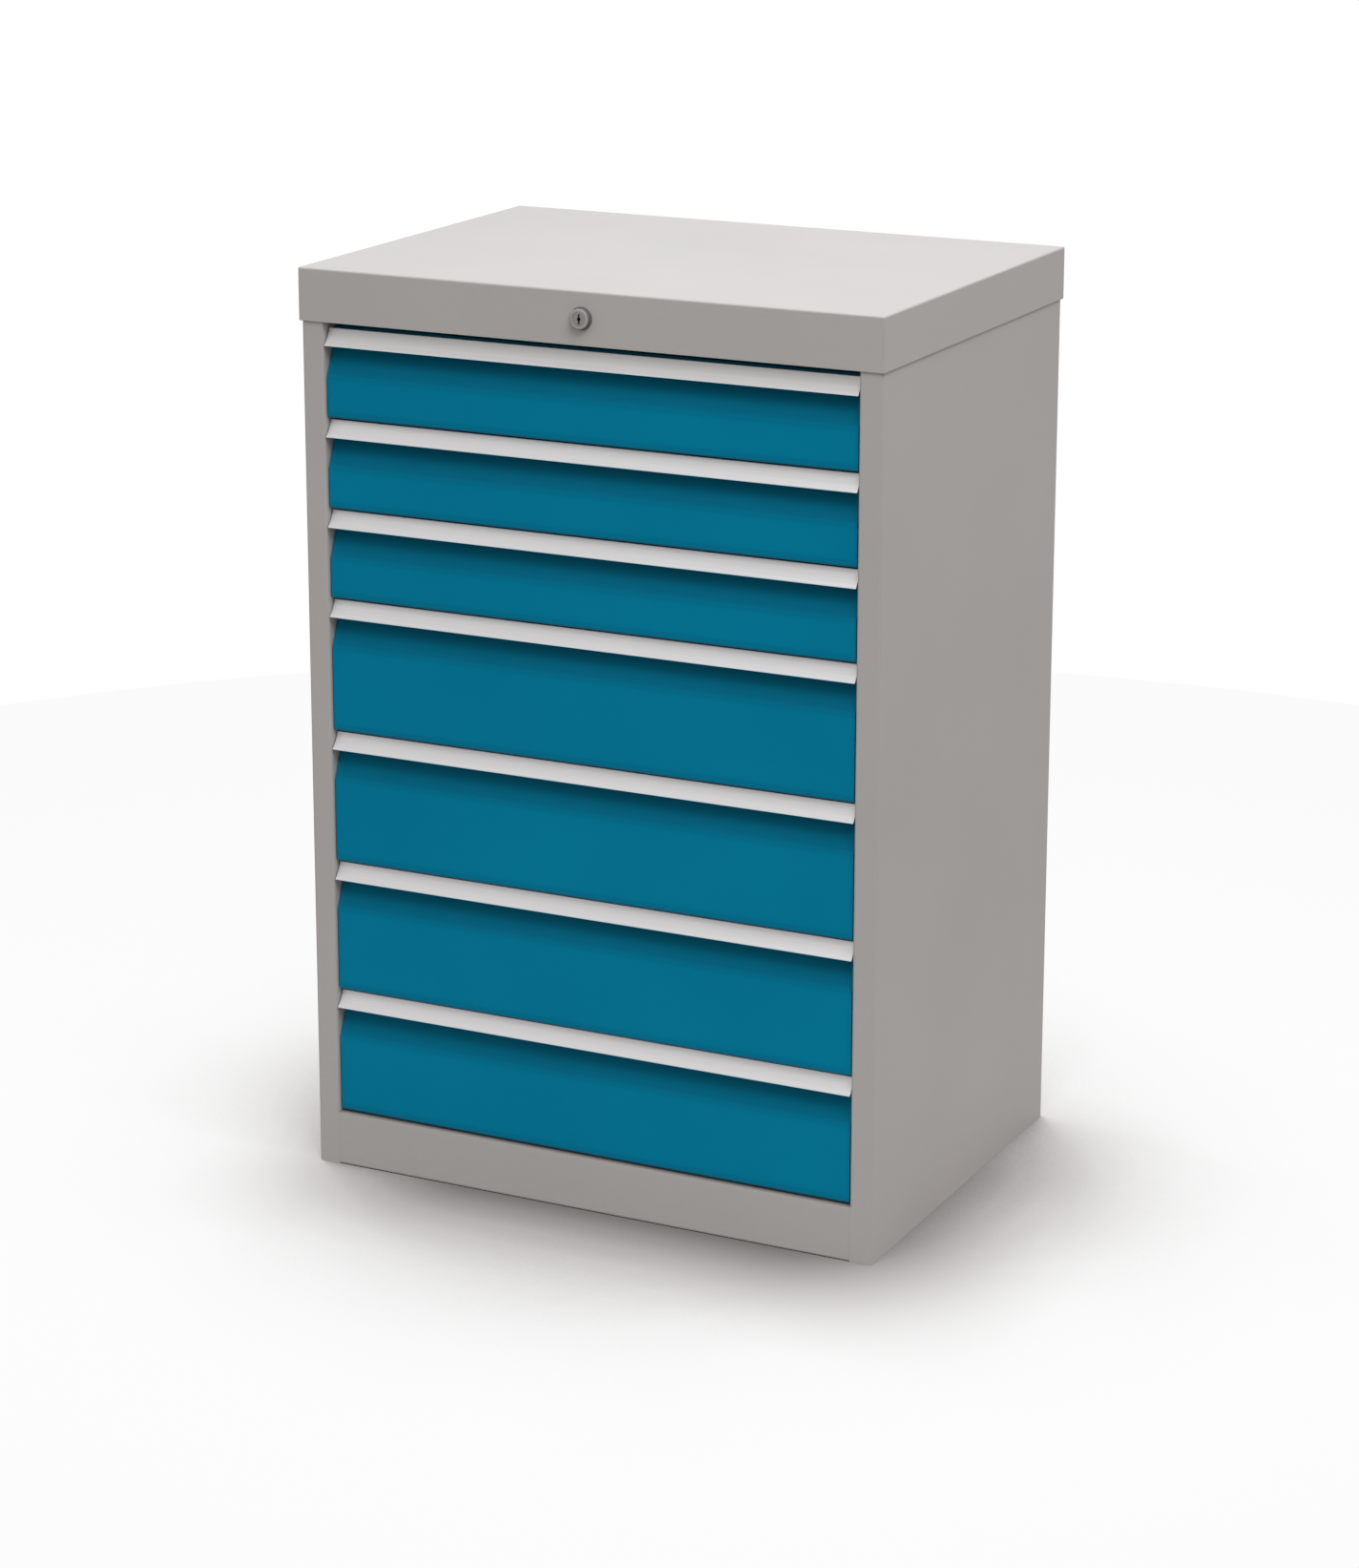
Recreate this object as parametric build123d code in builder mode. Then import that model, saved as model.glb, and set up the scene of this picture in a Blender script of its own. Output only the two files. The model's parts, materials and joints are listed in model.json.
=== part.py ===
"""Industrial drawer cabinet: a folded sheet-steel housing, seven full-extension drawers
with aluminium grip rails, and a central lock that blocks all the drawers at once.

Millimetres. X is the width, the front faces -Y, and Z is up from the floor.
The origin is on the floor, in the middle of the body.
"""

from build123d import *
import os

os.makedirs("parts", exist_ok=True)

# Overall sizes. Drawer heights step in the spacing of the rack slots
cover_width = 684
cover_depth = 496
cover_overhang = 2
skirt_height = 58
base_height = 62
step_height = 50
shallow_steps = 2
deep_steps = 3
shallow_count = 3
deep_count = 4

# Sheet metal of the housing
sheet = 1.5
bend = 2
post_face = 26
post_return = 12
rear_flange = 20
shelf_flange = 25
side_ledge = 18
ledge_setback = 30

body_width = cover_width - 2 * cover_overhang
body_depth = cover_depth - 2 * cover_overhang
cover_front = -cover_depth / 2
body_front = -body_depth / 2
body_back = body_depth / 2
back_front = body_back - 2 * sheet
wall_outer = body_width / 2
wall_inner = wall_outer - sheet
opening_half = wall_outer - post_face

zone_steps = [deep_steps] * deep_count + [shallow_steps] * shallow_count
slot_count = sum(zone_steps)
opening_top = base_height + slot_count * step_height
overall_height = opening_top + skirt_height
body_height = overall_height - sheet

# Cover, its weld studs and their nuts
cover_edge_radius = 2.5
stud_radius = 3
stud_length = 12
stud_hole_clearance = 0.5
stud_spread_y = 300
nut_across_flats = 10
nut_height = 5
nut_bore_clearance = 0.05

# Rack uprights
rack_width = 30
rack_setback = 1
rack_rear_margin = 22
rack_rise = 20
slot_height = 18
slot_width = 5

# Drawer slides: cabinet rail, carriage and runner nest inside one another
slide_width = 14
slide_height = 44
slide_rise = 25
slide_front_gap = 1.5
slide_rear_reach = 4
runner_end_setback = 2
member_sheet = 1.8
member_gap = 1
ball_gap = 3.6
ball_strip_clearance = 0.15
ball_strip_length = 170
ball_strip_inset = 1
ball_strip_setback = 20
hook_height = 14
hook_reach = 3
hook_clearance = 0.25

# Drawer boxes
tray_sheet = 1.2
tray_lift = 4
tray_drop = 12
tray_rear_gap = 24
rim_height = 8
rim_extra = 1.2

# Drawer fronts. Depths count back from the posts, drops count down from the top of the zone
front_sheet = 1.5
front_bend = 2
front_side_gap = 2
front_face_depth = 4
front_overlap = 5
front_floor_gap = 2
front_top_drop = 7
recess_start_drop = 60.5
recess_back_depth = 21.5
recess_back_drop = 19.5
top_hem = 5.5

# Grip rail, an extruded section
grip_side_gap = 1.5
grip_top_drop = 7.8
grip_top_depth = 11
grip_bottom_drop = 26
grip_face_radius = 40
grip_nose = 0.8
grip_wall = 2
grip_web_drop = 10
grip_foot_height = 7.5
grip_foot_wall = 1.8

# Central lock
lock_drop = 29
lock_head_radius = 11
lock_head_length = 7
lock_head_edge = 1
lock_flange_radius = 12.2
lock_flange_length = 1.6
lock_body_radius = 9.5
lock_body_length = 30
lock_hole_clearance = 0.3
lock_nut_flats = 24
lock_nut_height = 5
plug_radius = 7.5
plug_clearance = 0.05
plug_recess = 0.6
keyhole_height = 11
keyhole_width = 1.8
keyhole_waist_radius = 2
keyhole_depth = 8
rod_radius = 4
rod_clearance = 0.3
crank_radius = 13
crank_thickness = 3
crank_gap = 2
pin_radius = 2.5
pin_overhang = 2
pin_slot_clearance = 0.5
pin_slot_spare = 1

# Locking bar, its fingers and what they hold
bar_travel = 10
bar_width = 30
bar_thickness = 2
bar_rear_gap = 9
bar_head_width = 40
bar_head_height = 26
bar_foot = 8
finger_width = 18
finger_thickness = 2
finger_clear = 3
finger_slack = 1.5
catch_width = 24
catch_level = 40
catch_reach = 10
catch_sheet = 1.5
catch_top_gap = 1
guide_level = 66
guide_height = 12
guide_wall = 1.7
guide_clearance = 0.5
guide_foot = 10
bearing_width = 30
bearing_drop = 10
bearing_foot = 12
bearing_sheet = 2


def finish(shape, name):
    """Label a finished piece and write it to its own file."""
    shape.label = name
    export_step(shape, "parts/" + name + ".step")


def folded(points, thickness, radius):
    """The section of a folded sheet: a middle line with round bends, given a thickness."""
    with BuildLine() as line:
        FilletPolyline(*points, radius=radius)
    trace(line.line, line_width=thickness)


def block(low, high, mode=Mode.ADD):
    """A plate or block between two opposite corners."""
    sizes = [b - a for a, b in zip(low, high)]
    with Locations(tuple((a + b) / 2 for a, b in zip(low, high))):
        Box(*sizes, mode=mode)


def side_plane(x):
    """The plane at x seen from the right: its axes run back and up, its normal to the right."""
    return Plane(origin=(x, 0, 0), x_dir=(0, 1, 0), z_dir=(1, 0, 0))


def front_plane(y):
    """The plane at y seen from the front: its axes run right and up, its normal forward."""
    return Plane(origin=(0, y, 0), x_dir=(1, 0, 0), z_dir=(0, -1, 0))


# Side panels: front post, wall and rear flange folded from one sheet, with a ledge on top.
# The post turns in round the opening, and lies flush with the plates above and below it
half_sheet = sheet / 2
post_line = body_front + half_sheet
web_line = opening_half + half_sheet
ledge_end = body_depth / 2 - ledge_setback
for side, sign in (("left", -1), ("right", 1)):
    wall_path = [
        (sign * (wall_outer - half_sheet), post_line),
        (sign * (wall_outer - half_sheet), body_back - half_sheet),
        (sign * (wall_outer - rear_flange), body_back - half_sheet),
    ]
    flush_path = [(sign * opening_half, post_line)] + wall_path
    turned_path = [(sign * web_line, body_front + post_return), (sign * web_line, post_line)]
    stretches = (
        (0, base_height, flush_path),
        (base_height, opening_top, turned_path + wall_path),
        (opening_top, body_height, flush_path),
    )
    with BuildPart() as side_panel:
        for low, high, path in stretches:
            with BuildSketch(Plane.XY.offset(low)):
                folded(path, sheet, bend)
            extrude(amount=high - low)
        ledge_x = sorted((sign * wall_inner, sign * (wall_inner - side_ledge)))
        block(
            (ledge_x[0], -ledge_end, body_height - sheet),
            (ledge_x[1], ledge_end, body_height),
        )
        stud_x = sign * (wall_inner - side_ledge / 2)
        with Locations((stud_x, 0, body_height)):
            with GridLocations(0, stud_spread_y, 1, 2):
                Hole(stud_radius + stud_hole_clearance, depth=sheet)
    finish(side_panel.part, "side_panel_" + side)

# Back panel inside the rear flanges, clear of their bends, with a flange under the cover
back_half = wall_inner - bend
with BuildPart() as back_panel:
    with BuildSketch(side_plane(-back_half)):
        back_path = [
            (back_front + half_sheet, 0),
            (back_front + half_sheet, body_height - half_sheet),
            (back_front - shelf_flange, body_height - half_sheet),
        ]
        folded(back_path, sheet, bend)
    extrude(amount=2 * back_half)
finish(back_panel.part, "back_panel")

# Floor pan under the lowest drawer, with a flange down each side
pan_top = base_height - sheet
pan_front = body_front + sheet + bend
pan_edge = wall_inner - half_sheet
with BuildPart() as floor_pan:
    with BuildSketch(front_plane(pan_front)):
        pan_path = [
            (-pan_edge, pan_top - shelf_flange),
            (-pan_edge, pan_top - half_sheet),
            (pan_edge, pan_top - half_sheet),
            (pan_edge, pan_top - shelf_flange),
        ]
        folded(pan_path, sheet, bend)
    extrude(amount=pan_front - back_front)
finish(floor_pan.part, "floor_pan")

# Base front plate and top front rail: folded strips between the posts
lock_level = overall_height - lock_drop
lock_hole = lock_body_radius + lock_hole_clearance
strips = (
    ("base_front_plate", 0, base_height),
    ("top_front_rail", opening_top, body_height),
)
for name, low, high in strips:
    with BuildPart() as strip:
        with BuildSketch(side_plane(-opening_half)):
            strip_path = [
                (body_front + shelf_flange, low + half_sheet),
                (post_line, low + half_sheet),
                (post_line, high - half_sheet),
                (body_front + shelf_flange, high - half_sheet),
            ]
            folded(strip_path, sheet, bend)
        extrude(amount=2 * opening_half)
        if low < lock_level < high:
            with BuildSketch(front_plane(body_front)):
                with Locations((0, lock_level)):
                    Circle(lock_hole)
            extrude(amount=-sheet, mode=Mode.SUBTRACT)
    finish(strip.part, name)

# Top cover: a flat top with a skirt all round, and weld studs under it
stud_spread_x = 2 * wall_inner - side_ledge
with BuildPart() as top_cover:
    with BuildSketch(Plane.XY.offset(opening_top)):
        Rectangle(cover_width, cover_depth)
    extrude(amount=skirt_height)
    rim = top_cover.faces().sort_by(Axis.Z)[-1].edges()
    fillet(rim, cover_edge_radius)
    with BuildSketch(Plane.XY.offset(opening_top)):
        Rectangle(cover_width - 2 * sheet, cover_depth - 2 * sheet)
    extrude(amount=skirt_height - sheet, mode=Mode.SUBTRACT)
    with BuildSketch(front_plane(cover_front)):
        with Locations((0, lock_level)):
            Circle(lock_hole)
    extrude(amount=-sheet, mode=Mode.SUBTRACT)
    with BuildSketch(Plane.XY.offset(body_height)):
        with GridLocations(stud_spread_x, stud_spread_y, 2, 2):
            Circle(stud_radius)
    extrude(amount=-stud_length)
finish(top_cover.part, "top_cover")

# Nuts on the cover's studs, up against the ledges
with BuildPart() as cover_nuts:
    with BuildSketch(Plane.XY.offset(body_height - sheet)):
        with GridLocations(stud_spread_x, stud_spread_y, 2, 2):
            RegularPolygon(nut_across_flats / 2, 6, major_radius=False)
            Circle(stud_radius + nut_bore_clearance, mode=Mode.SUBTRACT)
    extrude(amount=-nut_height)
finish(cover_nuts.part, "cover_nuts")

# Rack uprights: slotted channels that stand on the floor pan
rack_front_y = body_front + post_return + rack_setback
rack_rear_y = back_front - rack_rear_margin - rack_width
rack_top = opening_top + rack_rise
slot_middle = (base_height + opening_top) / 2
web_inside = opening_half + sheet
for name, rack_y in (("rack_uprights_front", rack_front_y), ("rack_uprights_rear", rack_rear_y)):
    rack_middle = rack_y + rack_width / 2
    rack_hollow = rack_width - 2 * sheet
    with BuildPart() as rack:
        for sign in (-1, 1):
            with BuildSketch(Plane.XY.offset(pan_top)):
                with Locations((sign * (wall_inner + opening_half) / 2, rack_middle)):
                    Rectangle(wall_inner - opening_half, rack_width)
                with Locations((sign * (wall_inner + web_inside) / 2, rack_middle)):
                    Rectangle(wall_inner - web_inside, rack_hollow, mode=Mode.SUBTRACT)
            extrude(amount=rack_top - pan_top)
            with BuildSketch(side_plane(sign * opening_half)):
                with Locations((rack_middle, slot_middle)):
                    with GridLocations(0, step_height, 1, slot_count):
                        Rectangle(slot_width, slot_height)
            extrude(amount=sign * sheet, mode=Mode.SUBTRACT)
    finish(rack.part, name)

# Central lock: barrel with its head on the skirt, nut behind the rail, plug with the keyhole
barrel_rear = cover_front + lock_body_length
with BuildPart() as lock_barrel:
    with BuildSketch(front_plane(cover_front)):
        with Locations((0, lock_level)):
            Circle(lock_head_radius)
    extrude(amount=lock_head_length)
    chamfer(lock_barrel.faces().sort_by(Axis.Y)[0].edges(), lock_head_edge)
    with BuildSketch(front_plane(cover_front)):
        with Locations((0, lock_level)):
            Circle(lock_flange_radius)
    extrude(amount=lock_flange_length)
    with BuildSketch(front_plane(cover_front)):
        with Locations((0, lock_level)):
            Circle(lock_body_radius)
    extrude(amount=-lock_body_length)
    with BuildSketch(front_plane(barrel_rear)):
        with Locations((0, lock_level)):
            Circle(plug_radius + plug_clearance)
    extrude(amount=lock_body_length + lock_head_length, mode=Mode.SUBTRACT)
finish(lock_barrel.part, "lock_barrel")

with BuildPart() as lock_nut:
    with BuildSketch(front_plane(body_front + sheet)):
        with Locations((0, lock_level)):
            RegularPolygon(lock_nut_flats / 2, 6, major_radius=False)
            Circle(lock_body_radius + nut_bore_clearance, mode=Mode.SUBTRACT)
    extrude(amount=-lock_nut_height)
finish(lock_nut.part, "lock_nut")

plug_face = cover_front - lock_head_length + plug_recess
with BuildPart() as lock_plug:
    with BuildSketch(front_plane(plug_face)):
        with Locations((0, lock_level)):
            Circle(plug_radius)
    extrude(amount=plug_face - barrel_rear)
    with BuildSketch(front_plane(plug_face)):
        with Locations((0, lock_level)):
            Rectangle(keyhole_width, keyhole_height)
            Circle(keyhole_waist_radius)
    extrude(amount=-keyhole_depth, mode=Mode.SUBTRACT)
finish(lock_plug.part, "lock_plug")

# Lock rod: it turns with the plug, and its crank pin lifts the locking bar.
# A quarter turn carries the pin from an eighth below the level of the rod to an eighth above
bar_front = back_front - bar_rear_gap - bar_thickness
crank_rear = bar_front - crank_gap
crank_front = crank_rear - crank_thickness
pin_offset = bar_travel / 2
pin_throw = pin_offset * 2**0.5
pin_level = lock_level - pin_offset
with BuildPart() as lock_rod:
    with BuildSketch(front_plane(barrel_rear)):
        with Locations((0, lock_level)):
            Circle(rod_radius)
    extrude(amount=barrel_rear - crank_front)
    with BuildSketch(front_plane(crank_front)):
        with Locations((0, lock_level)):
            Circle(crank_radius)
    extrude(amount=-crank_thickness)
    with BuildSketch(front_plane(crank_rear)):
        with Locations((-pin_offset, pin_level)):
            Circle(pin_radius)
    extrude(amount=-(crank_gap + bar_thickness + pin_overhang))
finish(lock_rod.part, "lock_rod")

# Bearing for the rod, hung from the back panel's flange
bearing_line = back_front - shelf_flange + bearing_sheet
bearing_top = body_height - sheet - bearing_sheet / 2
with BuildPart() as rod_bearing:
    with BuildSketch(side_plane(-bearing_width / 2)):
        bearing_path = [
            (bearing_line, lock_level - bearing_drop),
            (bearing_line, bearing_top),
            (bearing_line + bearing_foot, bearing_top),
        ]
        folded(bearing_path, bearing_sheet, bend)
    extrude(amount=bearing_width)
    with BuildSketch(front_plane(bearing_line - bearing_sheet / 2)):
        with Locations((0, lock_level)):
            Circle(rod_radius + rod_clearance)
    extrude(amount=-bearing_sheet, mode=Mode.SUBTRACT)
finish(rod_bearing.part, "rod_bearing")

# Locking bar: a flat strip whose wide head has a level slot for the crank pin
catch_lip = bar_travel - finger_clear + catch_top_gap
finger_top_level = catch_level - catch_sheet - catch_lip - finger_clear
finger_low_level = finger_top_level - bar_travel - finger_thickness
pin_slot_length = pin_throw - pin_offset + 2 * (pin_radius + pin_slot_clearance + pin_slot_spare)
pin_slot_height = 2 * (pin_radius + pin_slot_clearance)
bar_bottom = base_height + bar_foot
with BuildPart() as locking_bar:
    with BuildSketch(front_plane(bar_front)):
        with Locations((0, (bar_bottom + pin_level) / 2)):
            Rectangle(bar_width, pin_level - bar_bottom)
        with Locations((0, pin_level)):
            Rectangle(bar_head_width, bar_head_height)
        with Locations((-(pin_throw + pin_offset) / 2, pin_level)):
            SlotOverall(pin_slot_length, pin_slot_height, mode=Mode.SUBTRACT)
    extrude(amount=-bar_thickness)
finish(locking_bar.part, "locking_bar")

# Drawers are numbered from the top. Each has its zone of the opening: its floor and its height
zones = []
zone_floor = base_height
for steps in zone_steps:
    zones.insert(0, (zone_floor, steps * step_height))
    zone_floor += steps * step_height

# Fingers on the locking bar: each reaches forward under a catch, and its lip stands up
tray_front = body_front + recess_back_depth + front_sheet
tray_rear = back_front - tray_rear_gap
catch_rear = tray_rear + catch_reach
finger_rear = catch_rear - catch_sheet - finger_slack
finger_front = finger_rear - finger_thickness
with BuildPart() as locking_fingers:
    for zone_floor, zone_height in zones:
        with BuildSketch(side_plane(-finger_width / 2)):
            with BuildLine():
                finger_low = zone_floor + finger_low_level
                finger_top = zone_floor + finger_top_level
                Polyline(
                    (finger_front, finger_low),
                    (bar_front, finger_low),
                    (bar_front, finger_low + finger_thickness),
                    (finger_rear, finger_low + finger_thickness),
                    (finger_rear, finger_top),
                    (finger_front, finger_top),
                    close=True,
                )
            make_face()
        extrude(amount=finger_width)
finish(locking_fingers.part, "locking_fingers")

# Guides that hold the bar to the back panel, beside the top, middle and lowest drawers
passage_width = bar_width + 2 * guide_clearance
passage_depth = back_front - bar_front + guide_clearance
guide_width = passage_width + 2 * guide_wall
guide_depth = passage_depth + guide_wall
with BuildPart() as bar_guides:
    for zone_floor, zone_height in (zones[0], zones[len(zones) // 2], zones[-1]):
        with BuildSketch(Plane.XY.offset(zone_floor + guide_level)):
            with Locations((0, back_front - guide_depth / 2)):
                Rectangle(guide_width, guide_depth)
            with Locations((0, back_front - guide_wall / 2)):
                Rectangle(guide_width + 2 * guide_foot, guide_wall)
            with Locations((0, back_front - passage_depth / 2)):
                Rectangle(passage_width, passage_depth, mode=Mode.SUBTRACT)
        extrude(amount=guide_height)
finish(bar_guides.part, "bar_guides")

# Places that all the slides share: the outer faces of their webs, and where the flanges end
tray_half = opening_half - slide_width
slide_front = tray_front + slide_front_gap
slide_rear = tray_rear + slide_rear_reach
carriage_web = opening_half - member_sheet - member_gap
outer_lip = tray_half + member_sheet + member_gap
runner_lip = carriage_web - member_sheet - member_gap
rail_half = slide_height / 2
carriage_half = rail_half - member_sheet - ball_gap
runner_half = carriage_half - member_sheet - ball_gap
strip_low = outer_lip + ball_strip_inset
strip_high = carriage_web - member_sheet - ball_strip_inset


def channels(web, lip, level, half_height):
    """Both sides' sections of a slide member: a web from its outer face, and two flanges."""
    web_back = web - member_sheet if web > lip else web + member_sheet
    for sign in (-1, 1):
        with Locations((sign * (web + lip) / 2, level)):
            Rectangle(abs(web - lip), 2 * half_height)
        with Locations((sign * (web_back + lip) / 2, level)):
            hollow_height = 2 * (half_height - member_sheet)
            Rectangle(abs(web_back - lip), hollow_height, mode=Mode.SUBTRACT)


def ball_strips(level, half_height):
    """Strips of balls inside a member's flanges, above and below, on both sides."""
    offset = half_height - member_sheet - ball_gap / 2
    with Locations((0, level)):
        with GridLocations(strip_low + strip_high, 2 * offset, 2, 2):
            Rectangle(strip_high - strip_low, ball_gap - 2 * ball_strip_clearance)


def grip_section(zone_top):
    """The grip rail's section: a curved wall that leans out to a lip, with a web and a foot."""
    wall_top = zone_top - grip_top_drop
    wall_bottom = zone_top - grip_bottom_drop
    web_top = zone_top - grip_web_drop
    foot_rear = body_front + recess_back_depth
    with BuildLine() as face:
        RadiusArc(
            (body_front, wall_bottom + grip_nose),
            (body_front + grip_top_depth, wall_top),
            -grip_face_radius,
        )
    middle = face.edge().arc_center
    with Locations(middle):
        Circle(grip_face_radius + grip_wall)
        Circle(grip_face_radius, mode=Mode.SUBTRACT)
    band_depth = grip_top_depth + 2 * grip_wall
    with Locations((body_front + band_depth / 2, (wall_top + wall_bottom) / 2)):
        Rectangle(band_depth, wall_top - wall_bottom, mode=Mode.INTERSECT)
    web_front = body_front + grip_top_depth
    with Locations(((web_front + foot_rear) / 2, web_top - grip_wall / 2)):
        Rectangle(foot_rear - web_front, grip_wall)
    with Locations((foot_rear - grip_foot_wall / 2, web_top - grip_foot_height / 2)):
        Rectangle(grip_foot_wall, grip_foot_height)


for number, (zone_floor, zone_height) in enumerate(zones, start=1):
    drawer = "drawer_" + str(number) + "_"
    zone_top = zone_floor + zone_height
    slide_level = zone_floor + slide_rise

    # Cabinet rails, hooked into the rack uprights
    with BuildPart() as rails:
        with BuildSketch(front_plane(slide_front)):
            channels(opening_half, outer_lip, slide_level, rail_half)
        extrude(amount=slide_front - slide_rear)
        for sign in (-1, 1):
            with BuildSketch(side_plane(sign * opening_half)):
                with Locations(((rack_front_y + rack_rear_y + rack_width) / 2, slide_level)):
                    with GridLocations(rack_rear_y - rack_front_y, 0, 2, 1):
                        Rectangle(slot_width - 2 * hook_clearance, hook_height)
            extrude(amount=sign * hook_reach)
    finish(rails.part, drawer + "cabinet_rails")

    # Carriages between rail and runner. The strips of balls outside them lie in their rear
    # half and those inside in their front half, so that they stay in both members when open
    with BuildPart() as carriages:
        with BuildSketch(front_plane(slide_front)):
            channels(carriage_web, outer_lip, slide_level, carriage_half)
        extrude(amount=slide_front - slide_rear)
        with BuildSketch(front_plane(slide_rear - ball_strip_setback)):
            ball_strips(slide_level, rail_half)
        extrude(amount=ball_strip_length)
        with BuildSketch(front_plane(slide_front + ball_strip_setback)):
            ball_strips(slide_level, carriage_half)
        extrude(amount=-ball_strip_length)
    finish(carriages.part, drawer + "carriages")

    # Runners on the drawer's own sides
    with BuildPart() as runners:
        with BuildSketch(front_plane(tray_front + runner_end_setback)):
            channels(tray_half, runner_lip, slide_level, runner_half)
        extrude(amount=tray_front - tray_rear + 2 * runner_end_setback)
    finish(runners.part, drawer + "runners")

    # Tray: folded walls with a doubled rim, and a catch for the locking finger at the rear
    tray_low = zone_floor + tray_lift
    tray_high = zone_top - tray_drop
    rim_low = tray_high - rim_height
    rim_sheet = tray_sheet + rim_extra
    with BuildPart() as tray:
        block(
            (-tray_half, tray_front, tray_low),
            (tray_half, tray_rear, tray_high),
        )
        block(
            (tray_sheet - tray_half, tray_front + tray_sheet, tray_low + tray_sheet),
            (tray_half - tray_sheet, tray_rear - tray_sheet, rim_low),
            mode=Mode.SUBTRACT,
        )
        block(
            (rim_sheet - tray_half, tray_front + rim_sheet, rim_low),
            (tray_half - rim_sheet, tray_rear - rim_sheet, tray_high),
            mode=Mode.SUBTRACT,
        )
    catch_high = zone_floor + catch_level
    catch_low = catch_high - catch_sheet - catch_lip
    with BuildPart() as catch:
        with BuildSketch(side_plane(-catch_width / 2)):
            with BuildLine():
                Polyline(
                    (tray_rear, catch_high),
                    (catch_rear, catch_high),
                    (catch_rear, catch_low),
                    (catch_rear - catch_sheet, catch_low),
                    (catch_rear - catch_sheet, catch_high - catch_sheet),
                    (tray_rear, catch_high - catch_sheet),
                    close=True,
                )
            make_face()
        extrude(amount=catch_width)
    finish(Compound(tray.part.solids() + catch.part.solids()), drawer + "tray")

    # Drawer front: a bent sheet with closed ends. It overlaps the zone below, but the lowest
    # one stops above the base, and it leans back behind the grip to make room for the fingers
    lowest = zone_floor == base_height
    front_low = zone_floor + front_floor_gap if lowest else zone_floor - front_overlap
    front_half = opening_half - front_side_gap
    mid = front_sheet / 2
    face_y = body_front + front_face_depth
    back_y = body_front + recess_back_depth
    front_high = zone_top - front_top_drop
    with BuildPart() as front:
        with BuildSketch(side_plane(-front_half)):
            front_path = [
                (tray_front, front_low + mid),
                (face_y + mid, front_low + mid),
                (face_y + mid, zone_top - recess_start_drop),
                (back_y + mid, zone_top - recess_back_drop),
                (back_y + mid, front_high - mid),
                (back_y + top_hem, front_high - mid),
            ]
            folded(front_path, front_sheet, front_bend)
        extrude(amount=2 * front_half)
        for end in (-front_half, front_half - front_sheet):
            with BuildSketch(side_plane(end)):
                with BuildLine():
                    Polyline(
                        (tray_front, front_low + front_sheet),
                        (face_y + mid, front_low + front_sheet),
                        (face_y + mid, zone_top - recess_start_drop),
                        (back_y + mid, zone_top - recess_back_drop),
                        (tray_front, zone_top - recess_back_drop),
                        close=True,
                    )
                make_face()
            extrude(amount=front_sheet)
    finish(front.part, drawer + "front")

    # Grip rail along the top of the front
    with BuildPart() as grip:
        with BuildSketch(side_plane(grip_side_gap - opening_half)):
            grip_section(zone_top)
        extrude(amount=2 * (opening_half - grip_side_gap))
    finish(grip.part, drawer + "grip_rail")
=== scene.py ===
"""Looks of the industrial drawer cabinet: finishes, small fittings, floor, light and camera.

Metres. X is the width, the front faces -Y, and Z is up from the floor.
"""

import json
import math

import bpy
import numpy as np
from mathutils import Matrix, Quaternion, Vector


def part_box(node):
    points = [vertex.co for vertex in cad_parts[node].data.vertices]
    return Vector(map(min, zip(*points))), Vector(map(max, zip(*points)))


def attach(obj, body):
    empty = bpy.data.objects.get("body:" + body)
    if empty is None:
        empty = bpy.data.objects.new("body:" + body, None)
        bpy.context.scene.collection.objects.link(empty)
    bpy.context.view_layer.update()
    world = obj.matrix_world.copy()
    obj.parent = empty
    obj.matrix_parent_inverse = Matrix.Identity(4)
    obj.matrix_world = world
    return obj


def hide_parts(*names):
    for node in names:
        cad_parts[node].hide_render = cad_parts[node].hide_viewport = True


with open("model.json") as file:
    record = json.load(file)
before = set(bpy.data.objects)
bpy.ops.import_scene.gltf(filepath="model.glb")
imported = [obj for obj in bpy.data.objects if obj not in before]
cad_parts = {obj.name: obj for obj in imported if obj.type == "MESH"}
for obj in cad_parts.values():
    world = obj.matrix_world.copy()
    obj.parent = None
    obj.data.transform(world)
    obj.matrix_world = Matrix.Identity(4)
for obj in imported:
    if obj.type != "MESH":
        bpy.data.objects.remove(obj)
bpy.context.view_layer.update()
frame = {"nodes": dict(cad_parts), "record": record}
nodes = frame["nodes"]
record = frame["record"]
MM = 0.001
QUARTER = np.pi / 2

# The photograph's camera: its place, the way it looks in degrees, and its lens in millimetres
camera_place = (1.9457, -3.9583, 1.7331)
camera_azimuth = 26.281
camera_elevation = 14.358
camera_roll = 0.057
camera_lens = 94.026
camera_sensor = 36.0
camera_shift = -0.10
camera_near = 0.1
camera_far = 50.0

# Light: a soft box overhead, one high at the front on the right, and a dim warm fill all round,
# which grows weak below the horizon
lamp_aim = (0.0, 0.0, 0.5)
lamps = {
    "soft_box_top": {"place": (0.0, 0.0, 3.6), "size": 1.2, "power": 40, "colour": (0.90, 1.01, 1.11)},
    "soft_box_front": {"place": (2.7, -2.7, 5.3), "size": 2.8, "power": 190, "colour": (0.98, 1.0, 1.02)},
}
fill_strength = 0.71
fill_below = 0.15
fill_below_from = -0.05
fill_colour = (1.03, 1.0, 0.97)

# Floor: how bright it looks near the cabinet and far off, and what light it gives back
floor_radius = 2.15
floor_rings = 8
floor_spokes = 96
floor_fade_start = 0.8
floor_fade_end = 1.9
floor_far = 0.958
floor_seen = 0.03
floor_glow = 0.935
floor_bounce = 0.37

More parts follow.
